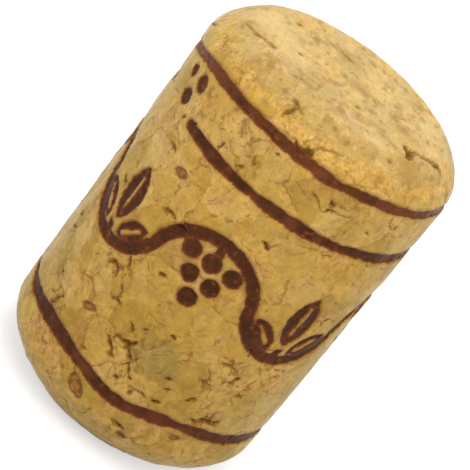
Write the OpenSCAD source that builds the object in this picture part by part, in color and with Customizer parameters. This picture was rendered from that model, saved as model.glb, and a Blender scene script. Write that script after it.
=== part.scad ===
// Agglomerated cork stopper with worn rims, cracks and pits.
// Three burnt rings, a trio of dots and a running vine are sunk a hair deep into its side.
// It stands on its foot, with the origin at the centre of the foot and +Z along the axis.
// Marks are placed by their turn in degrees from the front, which faces -Y.

/* [Stopper] */
// Diameter of the straight barrel
barrel_d = 24; // [22:0.5:30]
// Height from end to end
stopper_h = 35.5; // [34:0.5:45]

/* [Rims] */
// Height and reach of the worn rim at the head
head_rim = 3.2; // [1:0.1:4]
// Height and reach of the worn rim at the foot
foot_rim = 3.8; // [1:0.1:4.5]
// Fullness of the rims: 1 is a straight chamfer and 2 is a round
rim_fullness = 1.5; // [1.2:0.1:2]

/* [Burnt rings] */
// Depth that the hot iron sinks
burn_depth = 0.2; // [0.1:0.02:0.3]
// Drop of the head ring from the head
head_ring_drop = 3.15; // [2.6:0.05:3.6]
// Width of the head ring
head_ring_w = 0.95; // [0.5:0.05:1.2]
// Drop of the broken ring from the head
broken_ring_drop = 7.95; // [7.5:0.05:8.5]
// Width of the broken ring
broken_ring_w = 1; // [0.5:0.05:1.2]
// Turn at which the broken ring starts
broken_ring_start = -44; // [-60:1:-30]
// Turn left open in the broken ring
broken_ring_gap = 33; // [25:1:60]
// Height of the foot ring above the foot
foot_ring_z = 6.25; // [5.5:0.05:7]
// Width of the foot ring
foot_ring_w = 1.1; // [0.5:0.05:1.5]
// Waver of the head and foot rings: 0 is none and 1 is that of a rolled iron
ring_waver = 1; // [0:0.1:1.2]

/* [Dots] */
// Turn of the lower dot
dots_turn = -54; // [-60:1:-50]
// Drop of the lower dot from the head
dots_drop = 6.75; // [6.4:0.05:6.8]
// Rise from the lower dot to the upper two
dots_rise = 1.75; // [1.5:0.05:1.9]
// Diameter of a dot
dot_d = 1.4; // [0.8:0.1:1.6]

/* [Vine] */
// Full waves of the stem round the barrel
waves = 4; // [3:1:5]
// Turn of the first bunch
vine_turn = 0; // [-45:1:45]
// Height of the vine's middle above the foot
vine_z = 19.2; // [17:0.1:20]
// Reach of the stem to each side of its middle
vine_reach = 3.6; // [3:0.1:4]
// Width of the stem
stem_w = 1.1; // [0.6:0.1:1.2]
// Length of the middle leaf of a spray
leaf_l = 5.4; // [4:0.1:6]
// Width of the middle leaf of a spray
leaf_w = 2.6; // [1.4:0.1:2.8]
// Diameter of a berry
berry_d = 1.7; // [1:0.1:1.8]

/* [Flaws] */
// Depth of the cracks and pits
flaw_depth = 0.35; // [0.25:0.05:0.5]
// Number of flaws on the back
back_flaws = 16; // [0:1:24]

/* [Hidden] */
$fn = 60;
barrel_r = barrel_d / 2;
rim_steps = 9;                       // straight steps that make up one rim
cutter_start = barrel_r * 0.8;       // how far from the axis the cutters start
cutter_reach = 1;                    // how far they stand out of the cork
tip_fullness = 1.25;                 // diameter of a ring's tip as a share of its width
upper_dots_apart = 10;               // turn between the upper two dots
dish_steps = 24;                     // steps round the ball that makes a dish
waver_half = 75;                     // half of the turn over which a ring wavers
waver_steps = 30;                    // straight steps along an edge of the wavering part
waver_fade = 10;                     // turn over which the waver dies out at its ends
waver_lap = 0.12;                    // how far the wavering part runs into the plain one
waver_tip = 0.94;                    // its width there, as a share of the ring's
waver_start = barrel_r * cos(waver_half) - cutter_reach;
half_wave = 180 / waves;             // turn taken by one bend of the stem
bend_half = barrel_r * sin(half_wave / 2);
bend_r = (bend_half ^ 2 + vine_reach ^ 2) / (2 * vine_reach);
bend_lap = 0.1;                      // how far one bend runs into the next
stalk_w = 0.8;
stalk_l = 1.2;
leaf_foot = 1.55;                    // height of the leaves' feet over the stem's middle
side_leaf_share = 0.68;              // side leaf against the middle one
side_leaf_lean = 46;
side_leaf_out = 0.95;                // how far a side leaf's foot stands off the stalk
vein_w = 0.3;                        // bare vein along a leaf
vein_share = 0.6;                    // length of the vein against its leaf
berry_rows = 3;
berry_pitch = berry_d + 0.35;
row_pitch = berry_pitch * sin(60);
flaw_steps = 24;                     // steps round the circles that shape a flaw
back_start = 90;                     // turn at which the back starts
back_turn = 180;                     // turn that the back takes up
back_step = 111.25;                  // turn from one flaw on the back to the next
sway_step = 110;                     // angle whose sine and cosine vary those flaws
back_flaw_l = 1.3;
back_flaw_l_sway = 0.3;
back_flaw_w = 0.37;
back_flaw_w_sway = 0.06;
back_flaw_tilt = 50;                 // most that a flaw on the back is tilted

// Each bell curve is [turn, amount, spread]. Bends shift a ring up and swells widen it.
head_ring_bends = [[-90, -1.85, 18.5], [-15, 0.12, 18]];
head_ring_swells = [[-86, -0.25, 12], [-4, 0.22, 7]];
head_ring_middle = -60;
foot_ring_bends = [[-36, 0.45, 15], [1, -0.42, 9], [35, 0.4, 13]];
foot_ring_swells = [[-38, 0.42, 9], [10, -0.2, 4], [29, -0.3, 4], [60, 0.12, 10]];
foot_ring_middle = 0;

// Cracks and pits on the front, each [turn, height, length, width, tilt].
front_flaws = [
    [-25, 21.9, 1.3, 0.36, 4], [-30, 16, 2, 0.36, -24], [-31, 14.3, 1.4, 0.36, -12],
    [-8, 10.5, 1.7, 0.4, -55], [14, 10.2, 0.8, 0.5, 30], [16, 8.2, 1, 0.36, 22],
    [43, 8.6, 1.8, 0.4, 10], [9, 3.9, 1.7, 0.34, -14], [19, 30.6, 1.4, 0.34, -35],
    [-67, 13.4, 1.2, 0.34, 25], [53, 13.6, 1.2, 0.34, 30], [-29, 10.4, 1.7, 0.85, 22],
    [-13.5, 4.4, 1.7, 0.8, -38], [32, 4.6, 1, 0.8, 0], [-33, 25, 1.4, 0.85, 15]
];
// Cracks and pits in the head, each [x, y, length, width, tilt].
head_flaws = [
    [-7.3, -4.6, 2.1, 0.36, 0], [6.8, -4.8, 1.3, 0.6, 77], [8.2, -3.5, 1.6, 0.34, 14],
    [-3.8, -6.9, 0.9, 0.4, 46], [5.3, -1.4, 1, 0.5, 75], [0.3, -6.7, 0.9, 0.4, -30],
    [-1.8, 4, 1.6, 0.36, -17]
];
// Bare bands between the marks that the back's flaws keep to, each [middle, reach].
bare_bands = [[3.6, 1.1], [11, 2.6], [25.1, 0.9], [29.9, 0.9]];

// Quarter of a superellipse of size a, from the barrel's wall to the end.
// Each point is [how far in from the wall, how far out towards the end].
function rim_points(a) = [
    for (i = [0:rim_steps])
        let (t = 90 * i / rim_steps)
            [a * (1 - cos(t) ^ (2 / rim_fullness)), a * sin(t) ^ (2 / rim_fullness)]
];

// Half section of the cork, drawn in by inset on every side.
function half_section(inset) = [
    [0, inset],
    for (i = [rim_steps:-1:0])
        let (q = rim_points(foot_rim - inset)[i])
            [barrel_r - inset - q[0], foot_rim - q[1]],
    for (q = rim_points(head_rim - inset))
        [barrel_r - inset - q[0], stopper_h - head_rim + q[1]],
    [0, stopper_h - inset]
];

module cork(inset = 0) {
    rotate_extrude() polygon(half_section(inset));
}

// Sum of bell curves at one turn.
function bells(curves, turn, i = 0) =
    i == len(curves) ? 0 :
    curves[i][1] * exp(-((turn - curves[i][0]) / curves[i][2]) ^ 2 / 2) + bells(curves, turn, i + 1);

// Edge of a wavering ring over its middle, above it for side 1 and below it for side -1.
function waver_edge(w, bends, swells, middle, side) = [
    for (i = [0:waver_steps])
        let (
            t = waver_half * (2 * i / waver_steps - 1),
            share = ring_waver * min(1, (waver_half - abs(t)) / waver_fade),
            half_w = (w + share * bells(swells, middle + t)) / 2
        )
            [barrel_r * sin(t), share * bells(bends, middle + t) + side * half_w]
];

// Carries a flat shape out through the wall at one turn and height, with its y upwards.
module on_side(turn, z, start = cutter_start) {
    translate([0, 0, z])
        rotate([90, 0, turn])
            translate([0, 0, start])
                linear_extrude(height = barrel_r + cutter_reach - start)
                    children();
}

module ring(z, w) {
    rotate_extrude()
        translate([cutter_start, z - w / 2])
            square([barrel_r + cutter_reach - cutter_start, w]);
}

// Ring that wavers over the part round its middle and is plain behind it.
module wavering_ring(z, w, bends, swells, middle) {
    reach = barrel_r * sin(waver_half);
    upper = waver_edge(w, bends, swells, middle, 1);
    lower = waver_edge(w, bends, swells, middle, -1);
    difference() {
        ring(z, w);
        on_side(middle, z, waver_start)
            square([2 * reach, 3 * w], center = true);
    }
    on_side(middle, z, waver_start) {
        polygon([
            [-reach - waver_lap, -w * waver_tip / 2],
            for (p = lower) p,
            [reach + waver_lap, -w * waver_tip / 2],
            [reach + waver_lap, w * waver_tip / 2],
            for (i = [waver_steps:-1:0]) upper[i],
            [-reach - waver_lap, w * waver_tip / 2]
        ]);
    }
}

// Ring with a gap before its start, and a blunt round tip at each side of the gap.
module broken_ring(z, w, start, gap) {
    gap_half = barrel_r * sin(gap / 2);
    difference() {
        ring(z, w);
        on_side(start - gap / 2, z)
            difference() {
                square([2 * gap_half, 2 * w], center = true);
                for (side = [-1, 1])
                    translate([side * gap_half, 0]) circle(d = w * tip_fullness);
            }
    }
}

// Dished dot of diameter d, as deep as the other marks.
module dot(turn, z, d) {
    dish_r = (d ^ 2 / 4 + burn_depth ^ 2) / (2 * burn_depth);
    rotate([0, 0, turn - 90])
        translate([barrel_r - burn_depth + dish_r, 0, z])
            sphere(r = dish_r, $fn = dish_steps);
}

module dot_trio(turn, z) {
    dot(turn, z, dot_d);
    for (side = [-1, 1])
        dot(turn + side * upper_dots_apart / 2, z + dots_rise, dot_d);
}

// High bend of the stem: the part of a circle's rim above the middle of the vine.
module stem_bend() {
    intersection() {
        translate([0, vine_reach - bend_r])
            difference() {
                circle(r = bend_r + stem_w / 2);
                circle(r = bend_r - stem_w / 2);
            }
        translate([-barrel_r, -bend_lap])
            square([2 * barrel_r, barrel_r]);
    }
}

module stalk() {
    translate([-stalk_w / 2, 0])
        square([stalk_w, stalk_l]);
}

// Upright lens between two arcs.
module lens(l, w) {
    side_r = (l ^ 2 + w ^ 2) / (4 * w);
    intersection() {
        translate([side_r - w / 2, 0]) circle(r = side_r);
        translate([w / 2 - side_r, 0]) circle(r = side_r);
    }
}

// Leaf that stands on the origin, with a bare vein along its middle.
module leaf(l, w) {
    translate([0, l / 2])
        difference() {
            lens(l, w);
            square([vein_w, l * vein_share], center = true);
        }
}

// Three leaves on a stalk that stands in a low bend.
module spray() {
    stalk();
    translate([0, leaf_foot])
        leaf(leaf_l, leaf_w);
    for (side = [-1, 1])
        translate([-side * side_leaf_out, leaf_foot / 2])
            rotate(side * side_leaf_lean)
                leaf(leaf_l * side_leaf_share, leaf_w * side_leaf_share);
}

// Berries that hang in a high bend, one fewer in each row down.
module bunch(turn, z) {
    for (row = [0:berry_rows - 1]) {
        last = berry_rows - 1 - row;
        for (i = [0:last])
            dot(
                turn + asin((i - last / 2) * berry_pitch / barrel_r),
                z - row * row_pitch,
                berry_d
            );
    }
}

// Runs the children round the barrel, once for each wave of the vine.
module each_wave(shift) {
    for (wave = [0:waves - 1])
        rotate([0, 0, vine_turn + 2 * wave * half_wave + shift])
            children();
}

module vine_stem() {
    each_wave(0)
        on_side(0, vine_z) {
            stem_bend();
            translate([0, vine_reach - stalk_l]) stalk();
        }
    each_wave(half_wave)
        on_side(0, vine_z) {
            mirror([0, 1]) stem_bend();
            translate([0, -vine_reach]) spray();
        }
}

// Crack or pit, lying along x before it is tilted.
module flaw(l, w, tilt) {
    rotate(tilt - 90)
        lens(l, w, $fn = flaw_steps);
}

module side_flaws() {
    for (f = front_flaws)
        on_side(f[0], f[1]) flaw(f[2], f[3], f[4]);
    for (i = [0:1:back_flaws - 1]) {
        band = bare_bands[i % len(bare_bands)];
        rise = sin(i * sway_step);
        sway = cos(i * sway_step);
        on_side(back_start + i * back_step % back_turn, band[0] + band[1] * rise)
            flaw(
                back_flaw_l + back_flaw_l_sway * sway,
                back_flaw_w - back_flaw_w_sway * sway,
                back_flaw_tilt * rise * sway
            );
    }
}

module end_flaws() {
    for (f = head_flaws)
        translate([f[0], f[1], stopper_h - flaw_depth])
            linear_extrude(height = flaw_depth + cutter_reach)
                flaw(f[2], f[3], f[4]);
}

module burnt_lines() {
    wavering_ring(stopper_h - head_ring_drop, head_ring_w,
        head_ring_bends, head_ring_swells, head_ring_middle);
    broken_ring(stopper_h - broken_ring_drop, broken_ring_w,
        broken_ring_start, broken_ring_gap);
    wavering_ring(foot_ring_z, foot_ring_w,
        foot_ring_bends, foot_ring_swells, foot_ring_middle);
    vine_stem();
}

module burnt_dots() {
    dot_trio(dots_turn, stopper_h - dots_drop);
    each_wave(0)
        bunch(0, vine_z + vine_reach - stalk_l - berry_d / 2);
}

// Lines and flaws are cut down to a thin skin of the cork, so that each kind is equally deep.
module stopper() {
    difference() {
        color("burlywood") cork();
        color("sienna")
            difference() {
                side_flaws();
                cork(flaw_depth);
            }
        color("sienna") end_flaws();
        color("saddlebrown")
            difference() {
                burnt_lines();
                cork(burn_depth);
            }
        color("saddlebrown") burnt_dots();
    }
}

stopper();
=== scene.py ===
# Cork stopper with burnt rings, three dots and a running vine, on a pale studio floor.
# Lengths are in millimetres until the mesh is written. Turns are in degrees from the front, which faces -Y.
import math

import bpy
import numpy as np
from mathutils import Matrix, Vector


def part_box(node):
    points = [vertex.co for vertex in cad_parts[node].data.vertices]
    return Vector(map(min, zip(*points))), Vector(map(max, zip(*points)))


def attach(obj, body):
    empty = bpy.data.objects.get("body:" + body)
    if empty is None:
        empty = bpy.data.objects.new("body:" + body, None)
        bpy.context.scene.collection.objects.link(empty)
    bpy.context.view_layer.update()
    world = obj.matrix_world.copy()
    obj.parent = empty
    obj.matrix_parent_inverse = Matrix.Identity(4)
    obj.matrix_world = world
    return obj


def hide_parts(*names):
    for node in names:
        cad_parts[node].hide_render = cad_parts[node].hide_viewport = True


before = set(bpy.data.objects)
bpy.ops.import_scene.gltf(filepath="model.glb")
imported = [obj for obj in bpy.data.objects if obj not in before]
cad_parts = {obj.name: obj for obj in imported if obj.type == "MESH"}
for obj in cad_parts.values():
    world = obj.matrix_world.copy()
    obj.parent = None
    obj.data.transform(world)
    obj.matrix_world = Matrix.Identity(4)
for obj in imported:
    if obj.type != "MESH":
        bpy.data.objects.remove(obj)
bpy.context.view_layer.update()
millimetre = 0.001
lowCorner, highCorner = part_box("stopper")
barrelRadius = (highCorner.x - lowCorner.x) / 2 / millimetre
stopperHeight = (highCorner.z - lowCorner.z) / millimetre
print(f"frame loaded: {len(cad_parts)} node, {2 * barrelRadius:.1f} by {stopperHeight:.1f} mm")


# Shape of the cork
cork = {
    "headRim": 3.2,        # height and reach of the worn rim at the head
    "footRim": 3.8,
    "rimFullness": 1.5,    # 1 is a straight chamfer and 2 is a round
    "rimPoints": 200,      # points of each rim's curve, before the rows are spaced along it
    "columns": 368,        # steps round the axis
    "footStep": 0.6,       # spacing of the rows on each band
    "footRimStep": 0.24,
    "barrelStep": 0.171,
    "headRimStep": 0.1728,
    "headStep": 0.25,
    "poleHole": 0.25,      # radius of the first row round each pole
    "seed": 11,
}


def profileRows():
    # Half section from the foot's middle to the head's middle. A rim is a quarter of a superellipse:
    # in from the wall = a (1 - cos t ^ (2/n)), out towards the end = a sin t ^ (2/n).
    power, count = 2 / cork["rimFullness"], cork["rimPoints"]
    quarter = np.linspace(0, np.pi / 2, count)
    inShare = 1 - np.clip(np.cos(quarter), 0, 1) ** power
    outShare = np.sin(quarter) ** power
    foot, head = cork["footRim"], cork["headRim"]
    radius = np.concatenate([[0], barrelRadius - foot * inShare[::-1], barrelRadius - head * inShare, [0]])
    height = np.concatenate([[0], foot - foot * outShare[::-1], stopperHeight - head + head * outShare,
                             [stopperHeight]])
    along = np.concatenate([[0], np.cumsum(np.hypot(np.diff(radius), np.diff(height)))])
    ends = along[[0, 1, count, count + 1, 2 * count, 2 * count + 1]]
    steps = [cork[name] for name in ("footStep", "footRimStep", "barrelStep", "headRimStep", "headStep")]
    places = np.concatenate([np.linspace(start, end, max(2, round((end - start) / step)), endpoint=False)
                             for start, end, step in zip(ends[:-1], ends[1:], steps)])
    places = np.append(places[1:], ends[-1] - cork["poleHole"])
    places = places[places > cork["poleHole"]]
    rowRadius, rowHeight = np.interp(places, along, radius), np.interp(places, along, height)
    tangent = np.stack([np.gradient(rowRadius, places), np.gradient(rowHeight, places)])
    tangent /= np.linalg.norm(tangent, axis=0)
    return rowRadius, rowHeight, tangent[1], -tangent[0]


rowRadius, rowHeight, rowOut, rowUp = profileRows()
turns = np.arange(cork["columns"]) * 360 / cork["columns"]
turn, radius = np.meshgrid(turns, rowRadius)
height = np.repeat(rowHeight[:, None], cork["columns"], 1)
turnSin, turnCos = np.sin(np.radians(turn)), np.cos(np.radians(turn))
rest = np.stack([radius * turnSin, -radius * turnCos, height], -1)
outward = np.stack([rowOut[:, None] * turnSin, -rowOut[:, None] * turnCos,
                    np.repeat(rowUp[:, None], cork["columns"], 1)], -1)
print(f"profile carried round the axis: {len(rowRadius)} rows by {cork['columns']} columns")


# Textures read as numbers
def sampleTexture(points, kind, scale, output, **settings):
    # the value that a shader's texture has at each point: texture(scale x point)
    flat = np.ascontiguousarray(points.reshape(-1, 3), dtype=np.float32)
    helper = bpy.data.meshes.new("textureHelper")
    helper.vertices.add(len(flat))
    helper.vertices.foreach_set("co", flat.ravel())
    carrier = bpy.data.objects.new("textureHelper", helper)
    bpy.context.scene.collection.objects.link(carrier)
    group = bpy.data.node_groups.new("textureHelper", "GeometryNodeTree")
    group.interface.new_socket("Geometry", in_out="INPUT", socket_type="NodeSocketGeometry")
    group.interface.new_socket("Geometry", in_out="OUTPUT", socket_type="NodeSocketGeometry")
    entry, leave = group.nodes.new("NodeGroupInput"), group.nodes.new("NodeGroupOutput")
    texture, position = group.nodes.new(kind), group.nodes.new("GeometryNodeInputPosition")
    for name, value in settings.items():
        if hasattr(texture, name):
            setattr(texture, name, value)
        else:
            texture.inputs[name.capitalize()].default_value = value
    texture.inputs["Scale"].default_value = scale
    store = group.nodes.new("GeometryNodeStoreNamedAttribute")
    isVector = output in ("Color", "Position")
    store.data_type = "FLOAT_VECTOR" if isVector else "FLOAT"
    store.inputs["Name"].default_value = "sampled"
    group.links.new(position.outputs[0], texture.inputs["Vector"])
    group.links.new(entry.outputs[0], store.inputs["Geometry"])
    group.links.new(texture.outputs[output], store.inputs["Value"])
    group.links.new(store.outputs[0], leave.inputs[0])
    carrier.modifiers.new("textureHelper", "NODES").node_group = group
    result = carrier.evaluated_get(bpy.context.evaluated_depsgraph_get()).data.attributes["sampled"].data
    values = np.zeros(len(flat) * (3 if isVector else 1), np.float32)
    result.foreach_get("vector" if isVector else "value", values)
    bpy.data.objects.remove(carrier)
    bpy.data.meshes.remove(helper)
    bpy.data.node_groups.remove(group)
    return values.reshape(points.shape if isVector else points.shape[:-1])


def noiseAt(points, scale, detail, output="Fac"):
    # values that wander between 0 and 1 about 0.5: noise(scale x point)
    return sampleTexture(points, "ShaderNodeTexNoise", scale, output, detail=detail)


def smooth(value, low, high):
    # 0 at low, 1 at high, and 3t^2 - 2t^3 between; low may be the larger one
    t = np.clip((value - low) / (high - low), 0, 1)
    return t * t * (3 - 2 * t)


# Granules: cells whose coordinates are bent twice by noise, so that their joints wander.
grain = {
    "bends": [(0.28, 1, 3.0), (1.1, 2, 0.55)],    # scale per mm, detail, reach
    "granuleScale": 0.34,                         # one granule in about 3 mm
    "fragmentScale": 0.8,
    "fragmentShift": (31.0, 17.0, 5.0),
}


def cellsAt(points, scale, output, feature):
    # what is read of the cells round scattered points: cells(scale x point)
    return sampleTexture(points, "ShaderNodeTexVoronoi", scale, output, feature=feature)


bent = rest.copy()
for scale, detail, reach in grain["bends"]:
    bent += reach * (noiseAt(rest, scale, detail, "Color") - 0.5)
shifted = bent + np.array(grain["fragmentShift"])
granuleRandom = cellsAt(bent, grain["granuleScale"], "Color", "F1")
# how far the nearest joints are, in mm: distance in cells / cells per mm
granuleAway, fragmentAway = [cellsAt(points, scale, "Distance", "DISTANCE_TO_EDGE") / scale for points, scale
                             in ((bent, grain["granuleScale"]), (shifted, grain["fragmentScale"]))]
print("granules laid out")


# Burnt marks. A bump is (turn, amount, spread) and swells or shifts a ring by a bell curve round that turn.
rings = {
    "headRing": {"height": stopperHeight - 3.15, "width": 0.93,
                 "shifts": [(-90, -1.85, 18.5), (-15, 0.12, 18), (16, -0.16, 5), (65, -0.16, 14)],
                 "swells": [(-86, -0.25, 12), (-41, 0.15, 4), (-4, 0.2, 7), (13, 0.2, 3), (20, -0.25, 3),
                            (60, -0.12, 10)]},
    "brokenRing": {"height": stopperHeight - 7.95, "width": 1.0, "start": -44, "gap": 33,
                   "shifts": [(-38, 0.08, 5), (27, -0.12, 9), (62, -0.14, 10)],
                   "swells": [(-24, 0.2, 3.5), (-5, -0.3, 4), (18, 0.25, 4), (29, -0.15, 4)]},
    "footRing": {"height": 6.2, "width": 1.12,
                 "shifts": [(-36, 0.42, 15), (1, -0.4, 9), (33, 0.46, 11), (-80, 0.35, 8), (60, 0.12, 8)],
                 "swells": [(-38, 0.4, 9), (-82, -0.6, 9), (-18, -0.1, 4), (10, -0.26, 3), (19, 0.3, 5),
                            (29, -0.4, 4), (60, 0.12, 10)]},
}
dots = [(-61.3, 1.5, 0.6), (-51.0, 1.7, 0.75), (-55.2, -0.15, 0.77)]    # turn, rise, radius
dotsDrop = 6.75                                                         # of their level under the head
vine = {
    "waves": 4, "height": 19.2, "reach": 3.6, "stemWidth": 1.1,
    "leafLength": 5.4, "leafWidth": 2.6, "leafFoot": 1.55,
    "sideLeafShare": 0.68, "sideLeafLean": 46, "sideLeafOut": 0.95,
    "veinWidth": 0.3, "veinShare": 0.6, "stalkWidth": 0.8, "stalkLength": 1.2,
    "berry": 1.7, "berryGap": 0.35, "berryRows": 3,
}
burn = {
    "depth": 0.19,
    "wall": (0.1, -0.12),                             # distances from an edge where its wall starts and ends
    "floorLeast": 0.8, "floorRough": 0.5,             # shares of the depth
    "wanders": [(1.3, 2, 0.3), (0.35, 1, 0.26)],      # of its edge and its line: scale per mm, detail, reach
    "tipIn": 0.3,                                     # a ring's round end starts this far before its end
    "farthest": 1.5,                                  # longer distances are cut to this
}


def wrapped(angle):
    # the same angle between -180 and 180
    return (angle + 180) % 360 - 180


def bumps(listed):
    # sum of amount x exp(-(turn - place)^2 / (2 spread^2))
    total = np.zeros_like(turn)
    for place, amount, spread in listed:
        total += amount * np.exp(-0.5 * (wrapped(turn - place) / spread) ** 2)
    return total


def ringDistance(ring):
    # |height - ring's line| - half its width; past an end, the distance to a round tip
    off = height - ring["height"] - bumps(ring["shifts"])
    halfWidth = (ring["width"] + bumps(ring["swells"])) / 2
    if "gap" in ring:
        past = ring["gap"] / 2 - np.abs(wrapped(turn - ring["start"] + ring["gap"] / 2))
        off = np.hypot(off, np.clip(np.radians(past) * barrelRadius + burn["tipIn"], 0, None))
    return np.abs(off) - halfWidth


def boxDistance(x, y, halfX, halfY):
    # with dx = |x| - half x and dy = |y| - half y: the larger of them inside the box, and outside it
    # sqrt(dx^2 + dy^2), where what is below nothing counts as nothing
    dx, dy = np.abs(x) - halfX, np.abs(y) - halfY
    return np.hypot(np.clip(dx, 0, None), np.clip(dy, 0, None)) + np.minimum(np.maximum(dx, dy), 0)


def leafDistance(x, y, length, width):
    # inside both of two circles, less a slot along the middle; the foot is at the origin
    y = y - length / 2
    sideRadius = (length ** 2 + width ** 2) / (4 * width)
    centre = sideRadius - width / 2
    blade = np.maximum(np.hypot(x - centre, y), np.hypot(x + centre, y)) - sideRadius
    return np.maximum(blade, -boxDistance(x, y, vine["veinWidth"] / 2, length * vine["veinShare"] / 2))


def bendDistance(x, y):
    # rim of a circle that crosses the vine's middle at each side of the bend
    bendHalf = barrelRadius * math.sin(math.pi / vine["waves"] / 2)
    bendRadius = (bendHalf ** 2 + vine["reach"] ** 2) / (2 * vine["reach"])
    return np.abs(np.hypot(x, y - vine["reach"] + bendRadius) - bendRadius) - vine["stemWidth"] / 2


def bendMiddles(first):
    # across from the nearest of the bends that start at bend number first and skip every second one
    apart = 720 / (2 * vine["waves"])
    away = (turn - first * apart / 2 + apart / 2) % apart - apart / 2
    return barrelRadius * np.sin(np.radians(away)), barrelRadius * np.radians(away)


def vineDistance():
    # the stem is made of high bends above its middle and low bends below it
    y = height - vine["height"]
    (highX, highAcross), (lowX, _) = bendMiddles(0), bendMiddles(1)
    parts = [np.where(y > 0, bendDistance(highX, y), bendDistance(lowX, -y)),
             boxDistance(highX, y - vine["reach"] + vine["stalkLength"] / 2,
                         vine["stalkWidth"] / 2, vine["stalkLength"] / 2),
             boxDistance(lowX, y + vine["reach"] - vine["stalkLength"] / 2,
                         vine["stalkWidth"] / 2, vine["stalkLength"] / 2),
             leafDistance(lowX, y + vine["reach"] - vine["leafFoot"], vine["leafLength"], vine["leafWidth"])]
    for side in (-1, 1):
        lean = math.radians(side * vine["sideLeafLean"])
        dx, dy = lowX + side * vine["sideLeafOut"], y + vine["reach"] - vine["leafFoot"] / 2
        parts.append(leafDistance(dx * math.cos(lean) + dy * math.sin(lean),
                                  dy * math.cos(lean) - dx * math.sin(lean),
                                  vine["leafLength"] * vine["sideLeafShare"],
                                  vine["leafWidth"] * vine["sideLeafShare"]))
    berryPitch = vine["berry"] + vine["berryGap"]
    top = vine["reach"] - vine["stalkLength"] - vine["berry"] / 2
    for row in range(vine["berryRows"]):
        last = vine["berryRows"] - 1 - row
        for i in range(last + 1):
            parts.append(np.hypot(highAcross - (i - last / 2) * berryPitch,
                                  y - top + row * berryPitch * math.sin(math.pi / 3)) - vine["berry"] / 2)
    return np.minimum.reduce(parts)


def dotDistance(place, rise, size):
    # sqrt(across^2 + up^2) from the dot's middle - its radius
    across = barrelRadius * np.radians(wrapped(turn - place))
    return np.hypot(across, height - stopperHeight + dotsDrop - rise) - size


marks = [ringDistance(ring) for ring in rings.values()] + [dotDistance(*dot) for dot in dots]
burnField = np.minimum(np.minimum.reduce(marks), vineDistance())
for scale, detail, reach in burn["wanders"]:
    burnField += reach * (noiseAt(rest, scale, detail) - 0.5)
burnField = np.clip(burnField, -burn["farthest"], burn["farthest"])
print("burnt marks drawn")


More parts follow.
